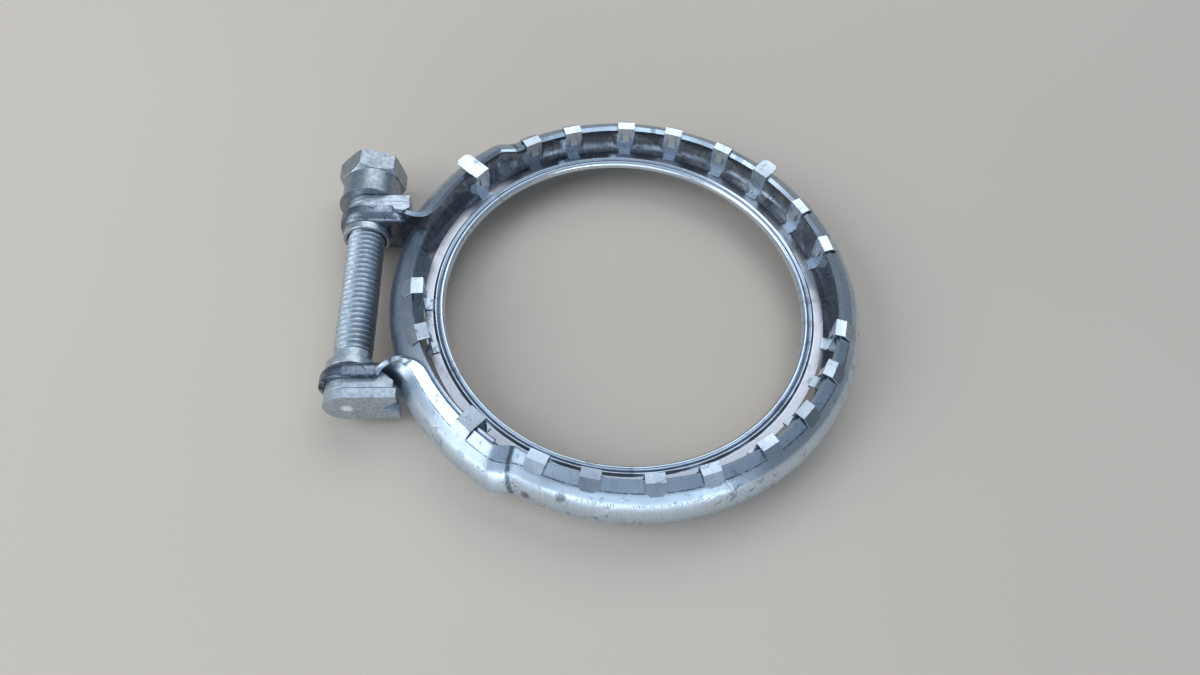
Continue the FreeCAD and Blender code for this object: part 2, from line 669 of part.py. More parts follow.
class Fold:
    """Half section of the sheet as runs and turns from the crown outwards, for one place of a bend."""

    def __init__(self, bulge, crown_half, corner_turn, corner_run, flank_turn, flank_run):
        self.bulge = bulge
        self.crown_half = crown_half
        self.corner_turn = corner_turn
        self.corner_run = corner_run
        self.flank_turn = flank_turn
        self.flank_run = flank_run


def strap_fold():
    """The V section of the strap."""
    shoulder_run, shoulder_drop = size("shoulder_run"), size("shoulder_drop")
    flank_run, flank_drop = size("flank_run"), size("flank_drop")
    corner_turn = math.degrees(math.atan2(shoulder_run, shoulder_drop))
    corner_run = math.hypot(shoulder_run, shoulder_drop)
    flank_turn = math.degrees(math.atan2(flank_run, flank_drop))
    flank_length = math.hypot(flank_run, flank_drop)
    return Fold(size("crown_bulge"), size(SHOULDER[1]), corner_turn, corner_run, flank_turn, flank_length)


def ear_fold():
    """The dish section of an ear, with its rim turned away from the gap."""
    corner = size("ear_corner")
    crown_half = size("ear_half - strap_sheet") - corner
    return Fold(0.0, crown_half, -45.0, corner * math.sqrt(2), -90.0, size("ear_rim") - corner)


def middle_fold(start, end, share, folded, corner_kept, flank_kept):
    """Section on the way from the strap to an ear."""
    return Fold(
        blend(start.bulge, end.bulge, share),
        blend(start.crown_half, end.crown_half, share),
        blend(start.corner_turn, end.corner_turn, folded),
        blend(start.corner_run, end.corner_run, share) * corner_kept,
        blend(start.flank_turn, end.flank_turn, folded),
        blend(start.flank_run, end.flank_run, share) * flank_kept,
    )


def half_line(fold, depth):
    """Knee, shoulder, crease and edge of the section as (out, up), moved inward by depth."""
    knee = (-fold.bulge * size("knee_drop"), fold.crown_half * size("knee_share"))
    shoulder = (-fold.bulge, fold.crown_half)
    knee_turn = math.degrees(math.atan2(knee[0] - shoulder[0], shoulder[1] - knee[1]))
    crease = step(shoulder, fold.corner_turn, fold.corner_run)
    edge = step(crease, fold.flank_turn, fold.flank_run)
    return [
        inward(knee, 0.0, knee_turn, depth),
        inward(shoulder, knee_turn, fold.corner_turn, depth),
        inward(crease, fold.corner_turn, fold.flank_turn, depth),
        inward(edge, fold.flank_turn, fold.flank_turn, depth),
    ]


def step(point, turn, run):
    """Point a run further on, in a direction turned inward from straight up."""
    out, up = point
    return (out - run * math.sin(math.radians(turn)), up + run * math.cos(math.radians(turn)))


def inward(point, first, second, depth):
    """Corner between two directions, moved by depth to the inside of the sheet."""
    turn = math.radians((first + second) / 2)
    reach = depth / math.cos(math.radians(second - first) / 2)
    return (point[0] - reach * math.cos(turn), point[1] - reach * math.sin(turn))


def section(fold, crown, outward):
    """Corners of the sheet's section, in the upright plane through crown that contains outward."""
    outer = half_line(fold, 0.0)
    inner = half_line(fold, size("strap_sheet"))
    below = [(out, -up) for out, up in outer]
    below_inner = [(out, -up) for out, up in inner]
    line = outer[::-1] + below + below_inner[::-1] + inner
    return [crown + outward * out + FreeCAD.Vector(0, 0, up) for out, up in line]


def flat_face(*corners):
    return Part.Face(Part.makePolygon(list(corners) + [corners[0]]))


def stitched(sections):
    """Solid through sections of the same number of corners, with flat triangles between them."""
    faces = [flat_face(*sections[0]), flat_face(*sections[-1])]
    for near, far in zip(sections, sections[1:]):
        for index in range(len(near)):
            after = (index + 1) % len(near)
            faces.append(flat_face(near[index], near[after], far[index]))
            faces.append(flat_face(near[after], far[after], far[index]))
    solid = Part.Solid(Part.Shell(faces))
    if solid.Volume < 0:
        solid.reverse()
    return solid


def ring_place(angle, radius):
    """Crown place and outward direction at an angle round the strap axis."""
    outward = FreeCAD.Vector(math.cos(math.radians(angle)), math.sin(math.radians(angle)), 0)
    return outward * radius, outward


# Steps of the fold from strap to ear: share of the way, share of the fold that is made,
# and how much of the corner and of the flank the narrowed sheet keeps there.
FOLD_STEPS = [
    (0.0, 0.0, 1.0, 1.0),
    (0.25, 0.03, 1.0, 0.95),
    (0.4, 0.15, 0.95, 0.8),
    (0.55, 0.5, 0.75, 0.6),
    (0.7, 0.8, 0.75, 0.65),
    (0.85, 0.95, 0.85, 0.85),
    (1.0, 1.0, 1.0, 1.0),
]


def band():
    crown = size(EDGE + " + flank_run + shoulder_run + crown_bulge")
    outer_crown = crown + size("joggle_step")
    foot, top, bend = 180 - size("joggle_foot"), 180 - size("joggle_top"), 180 - size("bend_angle")
    strap, ear = strap_fold(), ear_fold()
    axis = FreeCAD.Vector(0, 0, 1)
    origin = FreeCAD.Vector()

    first = flat_face(*section(strap, *ring_place(-foot, crown)))
    ring = first.revolve(origin, axis, 2 * foot)
    joggle = [section(strap, *ring_place(foot, crown)), section(strap, *ring_place(top, outer_crown))]
    lifted = flat_face(*joggle[1]).revolve(origin, axis, bend - top)
    stepped = stitched(joggle).fuse(lifted)

    # The crown line turns from the ring into the floor of the ear along a curve with three poles.
    start, outward = ring_place(bend, outer_crown)
    along = FreeCAD.Vector(-outward.y, outward.x, 0)
    floor = size(WEB_OUTSIDE)
    corner = start + along * ((floor - start.y) / along.y)
    bolt_x = -size(BOLT + " + strap_shift")
    root = FreeCAD.Vector(bolt_x + size("ear_root"), floor, 0)
    sections = []
    for share, folded, corner_kept, flank_kept in FOLD_STEPS:
        place = start * (1 - share) ** 2 + corner * (2 * share * (1 - share)) + root * share ** 2
        travel = (corner - start) * (1 - share) + (root - corner) * share
        facing = FreeCAD.Vector(travel.y, -travel.x, 0).normalize()
        fold = middle_fold(strap, ear, share, folded, corner_kept, flank_kept)
        sections.append(section(fold, place, facing))
    dish = flat_face(*sections[-1]).extrude(FreeCAD.Vector(-size("ear_root"), 0, 0))
    dish = dish.fuse(round_end(ear, FreeCAD.Vector(bolt_x, floor, 0)))
    upper = stepped.fuse(stitched(sections)).fuse(dish)
    hole = Part.makeCylinder(size("spigot_dia / 2 + spigot_play"), size("ear_gap"),
                             FreeCAD.Vector(bolt_x, size("ear_gap / 4"), 0), FreeCAD.Vector(0, 1, 0))
    upper = upper.cut(hole)
    lower = upper.mirror(origin, FreeCAD.Vector(0, 1, 0))
    strap_object = doc.addObject("Part::Feature", "band")
    strap_object.Shape = ring.fuse([upper, lower])
    keep("band", strap_object, "strap_shift")


def round_end(fold, centre):
    """Half-round end of an ear: half of its section turned about the bolt axis."""
    outward = FreeCAD.Vector(0, 1, 0)
    lines = [half_line(fold, depth) for depth in (0.0, size("strap_sheet"))]
    half = [(out, 0.0) for out, up in (lines[1][0], lines[0][0])] + lines[0] + lines[1][::-1]
    face = flat_face(*[centre + outward * out + FreeCAD.Vector(0, 0, up) for out, up in half])
    return face.revolve(centre, FreeCAD.Vector(0, -1, 0), 180)


band()
bridge_piece()
gasket_ring()
for number, (stretch, share, form) in enumerate(CLIPS, start=1):
    clip("clip_%02d" % number, form, STRETCHES[stretch] % ("clip_share_%02d" % number))
t_bolt()
thrust_plate("lower_thrust_plate", -1)
thrust_plate("upper_thrust_plate_inner", 1)
cover_plate()
bush("upper_bush", 1)
bush("lower_bush", -1)
collar_nut()
doc.recompute()

for item in doc.Objects:
    if "Invalid" in item.State or "Error" in item.State:
        raise SystemExit("%s failed: %s" % (item.Label, item.State))
for name, part in PARTS.items():
    if part.Shape.isNull() or not part.Shape.isValid():
        raise SystemExit("%s has no valid shape" % name)

os.makedirs("parts", exist_ok=True)
for name, part in PARTS.items():
    part.Shape.exportStep("parts/%s.step" % name)
    box = part.Shape.BoundBox
    print("%-26s %d solid %9.2f mm3  x %7.2f %7.2f  y %7.2f %7.2f  z %6.2f %6.2f" % (
        name, len(part.Shape.Solids), part.Shape.Volume,
        box.XMin, box.XMax, box.YMin, box.YMax, box.ZMin, box.ZMax))
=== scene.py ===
import math

import bmesh
import bpy
import numpy as np
from mathutils import Matrix, Vector


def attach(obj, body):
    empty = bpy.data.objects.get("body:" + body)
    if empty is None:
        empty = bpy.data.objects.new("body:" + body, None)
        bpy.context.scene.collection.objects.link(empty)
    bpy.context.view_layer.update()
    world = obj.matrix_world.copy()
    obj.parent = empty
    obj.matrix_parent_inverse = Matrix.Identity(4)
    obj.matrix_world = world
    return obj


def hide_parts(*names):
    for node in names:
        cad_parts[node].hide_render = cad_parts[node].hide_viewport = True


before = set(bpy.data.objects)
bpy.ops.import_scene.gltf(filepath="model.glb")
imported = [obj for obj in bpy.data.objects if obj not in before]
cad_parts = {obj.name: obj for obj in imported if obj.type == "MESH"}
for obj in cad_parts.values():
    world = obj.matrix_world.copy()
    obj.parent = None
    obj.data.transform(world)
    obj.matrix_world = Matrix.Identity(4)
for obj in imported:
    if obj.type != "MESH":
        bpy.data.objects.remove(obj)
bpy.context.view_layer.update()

# Strap. One sheet of stainless steel rolled to a V groove. Both of its ends step outward and are
# folded to an ear with a turned-out rim. Each ear has a hole for its bush, and the lower end lies
# over the bridge.

# Lengths are in millimetres and angles in degrees.
MM = 0.001
STRAP_SHIFT = 0.8
STRAP_SHEET = 1.0
CROWN_RADIUS = 49.9
# Each fold gives bulge and half width of the crown, then turn and run of the corner and the flank.
STRAP_FOLD = (1.5, 4.2, 44.2, 2.58, 60.4, 2.53)
EAR_FOLD = (0.0, 4.35, -45.0, 0.85, -90.0, 1.9)
EDGE_HEIGHT = 7.3
JOGGLE_FOOT, JOGGLE_RUN, JOGGLE_SLANT = 118.6, 5.5, 3.6
JOGGLE_STEP = 2.0
BEND_START = 154.0
RING_STEP, JOGGLE_ROW_STEP = 1.5, 0.4
JOGGLE_ROWS = (117, 129)
FOLD_ROWS, EAR_ROWS = 36, 7
EAR_ROW_GAP = 0.8
SECTION_PASSES, FOLD_PASSES = 2, 4
EASED_RING_ROWS = 3
EAR_FLOOR = 18.7
BOLT_X = -56.5
EAR_ROOT = 6.3
EAR_HOLE = 4.7
DRILL_FACETS, DRILL_DEPTH = 48, 8
# On the way to the ear: how far the flanks have opened, and how much of corner and flank is kept.
FOLD_SHARE = (0.0, 0.25, 0.4, 0.55, 0.7, 0.85, 1.0)
FOLD_MADE = (0.0, 0.03, 0.15, 0.5, 0.8, 0.95, 1.0)
CORNER_KEPT = (1.0, 1.0, 0.95, 0.75, 0.75, 0.85, 1.0)
FLANK_KEPT = (1.0, 0.95, 0.8, 0.6, 0.65, 0.85, 1.0)
CROWN_STEPS, CORNER_STEPS, FLANK_STEPS = 11, 7, 6


def section_line(fold):
    """Outer line of the sheet across its width, as (out, up) from the top edge to the low one."""
    bulge, crown_half, corner_turn, corner_run, flank_turn, flank_run = fold
    line = [(-bulge * t * t, crown_half * t) for t in np.linspace(0, 1, CROWN_STEPS)]
    for turn, length, count in ((corner_turn, corner_run, CORNER_STEPS),
                                (flank_turn, flank_run, FLANK_STEPS)):
        across, up = math.sin(math.radians(turn)), math.cos(math.radians(turn))
        for _ in range(count):
            out, height = line[-1]
            line.append((out - across * length / count, height + up * length / count))
    half = np.array(line)
    whole = np.vstack([half[::-1], half[1:] * (1, -1)])
    return smoothed(whole, SECTION_PASSES)


def smoothed(points, passes):
    """The same points with their corners rounded; the two ends stay."""
    points = points.copy()
    for _ in range(passes):
        points[1:-1] = (points[:-2] + 2 * points[1:-1] + points[2:]) / 4
    return points


def strap_row(place, outward, fold):
    """One cross-section of the strap in place."""
    line = section_line(fold)
    row = np.empty((len(line), 3))
    row[:, :2] = np.array(place) + line[:, :1] * np.array(outward)
    row[:, 2] = line[:, 1]
    return row


def ring_row(angle):
    """Cross-section of the ring; its outward step runs aslant, later at the edges than in the middle."""
    outward = np.array((math.cos(math.radians(angle)), math.sin(math.radians(angle))))
    row = strap_row(outward * CROWN_RADIUS, outward, STRAP_FOLD)
    foot = JOGGLE_FOOT + JOGGLE_SLANT * np.abs(row[:, 2:]) / EDGE_HEIGHT
    share = np.clip((angle - foot) / JOGGLE_RUN, 0, 1)
    row[:, :2] += JOGGLE_STEP * share * share * (3 - 2 * share) * outward
    return row


def fold_rows(count):
    """Cross-sections from the ring to the floor of the ear."""
    radius = CROWN_RADIUS + JOGGLE_STEP
    angle = math.radians(BEND_START)
    outward = np.array((math.cos(angle), math.sin(angle)))
    start = outward * radius
    along = np.array((-outward[1], outward[0]))
    corner = start + along * ((EAR_FLOOR - start[1]) / along[1])
    root = np.array((BOLT_X - STRAP_SHIFT + EAR_ROOT, EAR_FLOOR))
    rows = []
    for share in np.linspace(0, 1, count):
        place = start * (1 - share) ** 2 + corner * 2 * share * (1 - share) + root * share ** 2
        travel = (corner - start) * (1 - share) + (root - corner) * share
        facing = np.array((travel[1], -travel[0])) / np.linalg.norm(travel)
        made = np.interp(share, FOLD_SHARE, FOLD_MADE)
        fold = [a + (b - a) * share for a, b in zip(STRAP_FOLD, EAR_FOLD)]
        fold[2] = STRAP_FOLD[2] + (EAR_FOLD[2] - STRAP_FOLD[2]) * made
        fold[3] *= np.interp(share, FOLD_SHARE, CORNER_KEPT)
        fold[4] = STRAP_FOLD[4] + (EAR_FOLD[4] - STRAP_FOLD[4]) * made
        fold[5] *= np.interp(share, FOLD_SHARE, FLANK_KEPT)
        rows.append(strap_row(place, facing, fold))
    return rows


def strap_half():
    """Cross-sections from the side away from the bolt to the bolt axis, at +Y."""
    first, last = JOGGLE_ROWS
    places = (np.arange(0, first, RING_STEP), np.arange(first, last, JOGGLE_ROW_STEP),
              np.arange(last, BEND_START, RING_STEP))
    rows = [ring_row(angle) for angle in np.concatenate(places)]
    rows += fold_rows(FOLD_ROWS)
    for reach in np.linspace(EAR_ROOT - EAR_ROW_GAP, 0, EAR_ROWS):
        rows.append(strap_row((BOLT_X - STRAP_SHIFT + reach, EAR_FLOOR), (0, 1), EAR_FOLD))
    rows = np.array(rows)
    bent = slice(len(rows) - FOLD_ROWS - EAR_ROWS - EASED_RING_ROWS, 1 - EAR_ROWS)
    rows[bent] = smoothed(rows[bent], FOLD_PASSES)
    return rows


END_TURNS = 28


def strap_surface():
    """Outer surface of the strap with a UV map in millimetres along and across the sheet."""
    half = strap_half()
    rows = np.concatenate([half[:0:-1] * (1, -1, 1), half])
    count, width = rows.shape[:2]
    middle = width // 2
    along = np.concatenate([[0], np.cumsum(np.linalg.norm(np.diff(rows[:, middle], axis=0), axis=1))])
    steps = np.linalg.norm(np.diff(rows, axis=1), axis=2)
    across = np.concatenate([np.zeros((count, 1)), np.cumsum(steps, axis=1)], axis=1)
    across -= across[:, middle:middle + 1]
    mesh = bmesh.new()
    uv = mesh.loops.layers.uv.new("sheet")
    where = {}

    def corner(point, place):
        """New point of the mesh; its place on the flat sheet is kept for the UV map."""
        vertex = mesh.verts.new((Vector(point) + Vector((STRAP_SHIFT, 0, 0))) * MM)
        where[vertex] = place
        return vertex
    grid = [[corner(rows[i, j], (along[i], across[i, j])) for j in range(width)] for i in range(count)]
    for i in range(count - 1):
        for j in range(width - 1):
            mesh.faces.new((grid[i][j], grid[i][j + 1], grid[i + 1][j + 1], grid[i + 1][j]))
    for end, sign in ((0, -1), (-1, 1)):
        line = rows[end, :middle + 1][::-1]
        pole = grid[end][middle]
        previous = grid[end][:middle + 1][::-1]
        for k in range(1, END_TURNS + 1):
            angle = math.pi * k / END_TURNS
            if k == END_TURNS:
                current = grid[end][middle:]
            else:
                spun = [(p[0] - p[2] * math.sin(angle), p[1], p[2] * math.cos(angle)) for p in line[1:]]
                places = [(along[end] + sign * p[2], across[end, middle - j])
                          for j, p in enumerate(line) if j]
                current = [pole] + [corner(point, place) for point, place in zip(spun, places)]
            for j in range(len(line) - 1):
                corners = [previous[j], previous[j + 1], current[j + 1], current[j]]
                corners = [v for n, v in enumerate(corners) if v not in corners[:n]]
                mesh.faces.new(corners if sign > 0 else corners[::-1])
            previous = current
    for face in mesh.faces:
        for loop in face.loops:
            loop[uv].uv = where[loop.vert]
    bmesh.ops.recalc_face_normals(mesh, faces=mesh.faces)
    crown = grid[count // 2][middle]
    if crown.link_faces[0].normal.x < 0:
        bmesh.ops.reverse_faces(mesh, faces=mesh.faces)
    data = bpy.data.meshes.new("strap")
    mesh.to_mesh(data)
    mesh.free()
    piece = bpy.data.objects.new("strap", data)
    bpy.context.scene.collection.objects.link(piece)
    return piece


def only(piece):
    """Select this piece alone and make it active."""
    for item in bpy.context.selected_objects:
        item.select_set(False)
    bpy.context.view_layer.objects.active = piece
    piece.select_set(True)


def apply_modifier(piece, kind, **settings):
    """Add a modifier with its settings and apply it."""
    only(piece)
    modifier = piece.modifiers.new(kind.lower(), kind)
    for name, value in settings.items():
        setattr(modifier, name, value)
    bpy.ops.object.modifier_apply(modifier=modifier.name)


def soften(piece, width, angle=35, segments=2, smooth=38):
    """Round the edges sharper than one angle, shade smooth up to another and keep the flats flat."""
    apply_modifier(piece, "BEVEL", width=width * MM, segments=segments, limit_method="ANGLE",
                   angle_limit=math.radians(angle), harden_normals=False)
    only(piece)
    bpy.ops.object.shade_smooth_by_angle(angle=math.radians(smooth))
    apply_modifier(piece, "WEIGHTED_NORMAL", keep_sharp=True, weight=80)


strap = strap_surface()
OUTSIDE, GROOVE = 0, 1
strap.data.materials.append(None)
strap.data.materials.append(None)
apply_modifier(strap, "SOLIDIFY", thickness=STRAP_SHEET * MM, offset=-1, use_even_offset=True,
               material_offset=GROOVE)
for side in (-1, 1):
    bpy.ops.mesh.primitive_cylinder_add(vertices=DRILL_FACETS, radius=EAR_HOLE * MM, depth=DRILL_DEPTH * MM,
                                        location=(BOLT_X * MM, side * EAR_FLOOR * MM, 0),
                                        rotation=(math.pi / 2, 0, 0))
    drill = bpy.context.object
    apply_modifier(strap, "BOOLEAN", operation="DIFFERENCE", object=drill, solver="EXACT")
    bpy.data.objects.remove(drill)
soften(strap, width=0.24, angle=50)


# Shader effects that several finishes share. Each puts out values only.

def shader_group(name, inputs, outputs):
    """Empty node group with named inputs and outputs."""
    tree = bpy.data.node_groups.new(name, "ShaderNodeTree")
    for label, kind, value in inputs:
        socket = tree.interface.new_socket(label, in_out="INPUT", socket_type=kind)
        if value is not None:
            socket.default_value = value
    for label in outputs:
        tree.interface.new_socket(label, in_out="OUTPUT", socket_type="NodeSocketFloat")
    return tree, tree.nodes.new("NodeGroupInput"), tree.nodes.new("NodeGroupOutput")


def add(tree, kind, values=(), **settings):
    """New node; values are (input, value or output to link)."""
    node = tree.nodes.new(kind)
    for name, value in settings.items():
        setattr(node, name, value)
    for socket, value in values:
        if isinstance(value, bpy.types.NodeSocket):
            tree.links.new(value, node.inputs[socket])
        else:
            node.inputs[socket].default_value = value
    return node


def remap(tree, value, low, high, to_low=0.0, to_high=1.0):
    """Value stretched from one range to another and held inside it."""
    node = add(tree, "ShaderNodeMapRange", [("Value", value), ("From Min", low), ("From Max", high),
                                            ("To Min", to_low), ("To Max", to_high)])
    return node.outputs["Result"]


def maths(tree, operation, *values):
    """Result of one Math node."""
    return add(tree, "ShaderNodeMath", list(enumerate(values)), operation=operation).outputs[0]


def noise(tree, vector, scale, detail=2.0, **values):
    """Value of a Noise node."""
    more = [(name.title(), value) for name, value in values.items()]
    given = [("Vector", vector), ("Scale", scale), ("Detail", detail)]
    return add(tree, "ShaderNodeTexNoise", given + more).outputs["Fac"]


def stretched(tree, vector, x, y, z):
    """Vector with its three parts scaled by factors."""
    return add(tree, "ShaderNodeVectorMath", [(0, vector), (1, (x, y, z))], operation="MULTIPLY").outputs[0]


def brushing_group():
    """Fine parallel lines, close together in the first direction and long in the second."""
    tree, given, result = shader_group("brushing", [("Vector", "NodeSocketVector", None),
                                                    ("Fineness", "NodeSocketFloat", 4.0)], ["Lines"])
    vector = stretched(tree, given.outputs["Vector"], 1.0, 0.08, 0.3)
    fine = noise(tree, vector, given.outputs["Fineness"], 5.0, roughness=0.7)
    tree.links.new(fine, result.inputs["Lines"])
    return tree


def smudge_group():
    """Broad soft patches and small sharp ones, as handling and pressing leave on sheet."""
    tree, given, result = shader_group("smudges", [("Vector", "NodeSocketVector", None),
                                                   ("Size", "NodeSocketFloat", 0.1)], ["Broad", "Sharp"])
    vector, size = given.outputs["Vector"], given.outputs["Size"]
    broad = noise(tree, vector, size, 3.0, roughness=0.55, distortion=0.6)
    tree.links.new(remap(tree, broad, 0.38, 0.66), result.inputs["Broad"])
    sharp = noise(tree, vector, maths(tree, "MULTIPLY", size, 2.7), 6.0, roughness=0.72, distortion=1.5)
    tree.links.new(remap(tree, sharp, 0.56, 0.64), result.inputs["Sharp"])
    return tree


def scratch_group():
    """Thin broken scratches that run in two slanting directions."""
    tree, given, result = shader_group("scratches", [("Vector", "NodeSocketVector", None),
                                                     ("Size", "NodeSocketFloat", 1.0)], ["Mask"])
    masks = []
    for turn, seed in ((0.5, 0.0), (-0.9, 40.0)):
        turned = add(tree, "ShaderNodeVectorRotate", [("Vector", given.outputs["Vector"]), ("Angle", turn)],
                     rotation_type="Z_AXIS")
        moved = add(tree, "ShaderNodeVectorMath", [(0, turned.outputs[0]), (1, (seed, seed, seed))],
                    operation="ADD").outputs[0]
        line = noise(tree, stretched(tree, moved, 1.0, 0.05, 0.6), given.outputs["Size"])
        masks.append(remap(tree, line, 0.66, 0.7))
    tree.links.new(maths(tree, "MAXIMUM", *masks), result.inputs["Mask"])
    return tree


def coating_group():
    """Grainy cloud of a zinc coat: flakes of slightly different tone with a fine grain over them."""
    tree, given, result = shader_group("coating", [("Vector", "NodeSocketVector", None),
                                                   ("Size", "NodeSocketFloat", 1.0)], ["Tone", "Grain"])
    vector, size = given.outputs["Vector"], given.outputs["Size"]
    flakes = add(tree, "ShaderNodeTexVoronoi", [("Vector", vector), ("Scale", size)])
    cloud = noise(tree, vector, size, 6.0, roughness=0.65)
    tone = add(tree, "ShaderNodeMix", [("Factor", 0.65), ("A", flakes.outputs["Distance"]), ("B", cloud)],
               data_type="FLOAT")
    grain = noise(tree, vector, maths(tree, "MULTIPLY", size, 9.0), 3.0)
    tree.links.new(remap(tree, tone.outputs["Result"], 0.3, 0.62), result.inputs["Tone"])
    tree.links.new(grain, result.inputs["Grain"])
    return tree


BRUSHING, SMUDGES = brushing_group(), smudge_group()
SCRATCHES, COATING = scratch_group(), coating_group()


def use(tree, group, vector, **values):
    """Group node in a material, fed with a vector and plain values."""
    node = add(tree, "ShaderNodeGroup", node_tree=group)
    tree.links.new(vector, node.inputs["Vector"])
    for name, value in values.items():
        node.inputs[name].default_value = value
    return node


def mixed(tree, factor, first, second):
    """Colour mixed from two by a factor."""
    node = add(tree, "ShaderNodeMix", [("Factor", factor)], data_type="RGBA")
    for socket, colour in ((node.inputs[6], first), (node.inputs[7], second)):
        if isinstance(colour, bpy.types.NodeSocket):
            tree.links.new(colour, socket)
        else:
            socket.default_value = (*colour, 1)
    return node.outputs[2]


def coordinates(tree, uv_map=None):
    """Place on the piece in millimetres: along its own sheet, or in the frame."""
    if uv_map:
        return add(tree, "ShaderNodeUVMap", uv_map=uv_map).outputs["UV"]
    place = add(tree, "ShaderNodeTexCoord").outputs["Object"]
    return add(tree, "ShaderNodeVectorMath", [(0, place), ("Scale", 1 / MM)], operation="SCALE").outputs[0]


def finish_of(name):
    """New material with its tree and its shader."""
    material = bpy.data.materials.new(name)
    material.use_nodes = True
    return material, material.node_tree, material.node_tree.nodes["Principled BSDF"]


def raised(tree, shader, height, relief, strength):
    """Let a height make relief of so many metres."""
    bump = add(tree, "ShaderNodeBump", [("Height", height), ("Distance", relief), ("Strength", strength)])
    tree.links.new(bump.outputs["Normal"], shader.inputs["Normal"])


SHEET_RELIEF, COAT_RELIEF = 0.02 * MM, 0.03 * MM
SCRATCH_SIZE, COAT_SMUDGE_SIZE = 0.8, 0.25
PATCH_SHARE, SPOT_SHARE, SCRATCH_SHARE, SPOT_ROUGH = 0.7, 0.75, 0.5, 0.14
WORN_SHARE, COAT_SPOT_SHARE = 0.5, 0.55


def metal(name, bright, dull, dark, shine, rough, brush, patch, uv_map=None):
    """Sheet steel: brushed lines, dull patches, dark rubbed spots and scratches over one metal."""
    material, tree, shader = finish_of(name)
    place = coordinates(tree, uv_map)
    lines = use(tree, BRUSHING, place, Fineness=brush).outputs["Lines"]
    smudges = use(tree, SMUDGES, place, Size=patch)
    scratches = use(tree, SCRATCHES, place, Size=SCRATCH_SIZE).outputs["Mask"]
    base = mixed(tree, remap(tree, lines, 0.3, 0.7), dull, bright)
    patched = mixed(tree, remap(tree, smudges.outputs["Broad"], 0, 1, 0, PATCH_SHARE), base, dull)
    spotted = mixed(tree, remap(tree, smudges.outputs["Sharp"], 0, 1, 0, SPOT_SHARE), patched, dark)
    scratched = mixed(tree, remap(tree, scratches, 0, 1, 0, SCRATCH_SHARE), spotted, bright)
    tree.links.new(scratched, shader.inputs["Base Color"])
    shader.inputs["Metallic"].default_value = 1.0
    gloss = remap(tree, smudges.outputs["Broad"], 0, 1, shine, rough)
    rubbed = maths(tree, "ADD", remap(tree, smudges.outputs["Sharp"], 0, 1, 0, SPOT_ROUGH), gloss)
    tree.links.new(rubbed, shader.inputs["Roughness"])
    raised(tree, shader, maths(tree, "SUBTRACT", lines, scratches), SHEET_RELIEF, 0.5)
    return material


def zinc(name, bright, dull, shine, rough, size):
    """Zinc-coated steel: grainy and cloudy, with darker rubbed spots."""
    material, tree, shader = finish_of(name)
    place = coordinates(tree)
    coat = use(tree, COATING, place, Size=size)
    smudges = use(tree, SMUDGES, place, Size=COAT_SMUDGE_SIZE)
    base = mixed(tree, coat.outputs["Tone"], dull, bright)
    worn = tuple(part * WORN_SHARE for part in dull)
    spotted = mixed(tree, remap(tree, smudges.outputs["Sharp"], 0, 1, 0, COAT_SPOT_SHARE), base, worn)
    tree.links.new(spotted, shader.inputs["Base Color"])
    shader.inputs["Metallic"].default_value = 0.9
    tree.links.new(remap(tree, coat.outputs["Tone"], 0, 1, rough, shine), shader.inputs["Roughness"])
    raised(tree, shader, maths(tree, "ADD", coat.outputs["Grain"], coat.outputs["Tone"]), COAT_RELIEF, 0.6)
    return material


def dress(piece, material, body, slot, *nodes):
    """Give a piece its finish, if it has none yet, and its body, and hide the nodes it stands for; the slot
    is not used.
    """
    if not piece.data.materials:
        piece.data.materials.append(material)
    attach(piece, body)
    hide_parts(*nodes)


def near(tree, value, middle, half, soft):
    """Mask of the places where a value lies close to a middle one."""
    distance = maths(tree, "ABSOLUTE", maths(tree, "SUBTRACT", value, middle))
    return remap(tree, distance, half, half - soft)


def times(tree, *masks):
    """Product of masks."""
    result = masks[0]
    for mask in masks[1:]:
        result = maths(tree, "MULTIPLY", result, mask)
    return result


def marked(material, mask, colour):
    """Lay a colour over a finish where a mask says so."""
    tree = material.node_tree
    target = tree.nodes["Principled BSDF"].inputs["Base Color"]
    tree.links.new(mixed(tree, mask, target.links[0].from_socket, colour), target)


def spot(tree, place, middle, radius, rag):
    """Mask of a blot with a ragged rim around a point in millimetres."""
    offset = add(tree, "ShaderNodeVectorMath", [(0, place), (1, middle)], operation="SUBTRACT").outputs[0]
    length = add(tree, "ShaderNodeVectorMath", [(0, offset)], operation="LENGTH").outputs["Value"]
    ragged = maths(tree, "MULTIPLY_ADD", noise(tree, place, 0.9, 4.0), rag, length)
    return remap(tree, ragged, radius + rag * 0.5, radius * 0.6 + rag * 0.5)


# Bands are middle, half width and soft rim: of the width, of the angle past the joggle, and of x.
SHOULDER, CREASE = (4.5, 0.42, 0.3), (7.05, 0.16, 0.1)
JOGGLE_LINE, HATCHED_WIDTH = (0.0, 0.75, 0.5), (0.0, 22.0, 10.0)
HATCH_START, HATCH_FULL = -20.0, -30.0
HATCH_STEP, HATCH_SLANT = 0.55, 6.0
# Painted shade: SHADE darkens the flank; the line dark serves the hatch strokes and the painted shade along
# the crease; the joggle dark is painted shade along the joggle.
SHADE, STROKE_AND_SHADE_DARK = (0.27, 0.35, 0.45), (0.05, 0.07, 0.1)
JOGGLE_SHADE_DARK, BLOT_DARK = (0.06, 0.08, 0.11), (0.1, 0.11, 0.14)
BLOTS = (((-18.5, -45.5, 5.0), 1.5), ((-15.0, -46.9, 4.0), 1.7), ((-21.5, -44.8, 1.0), 1.2))


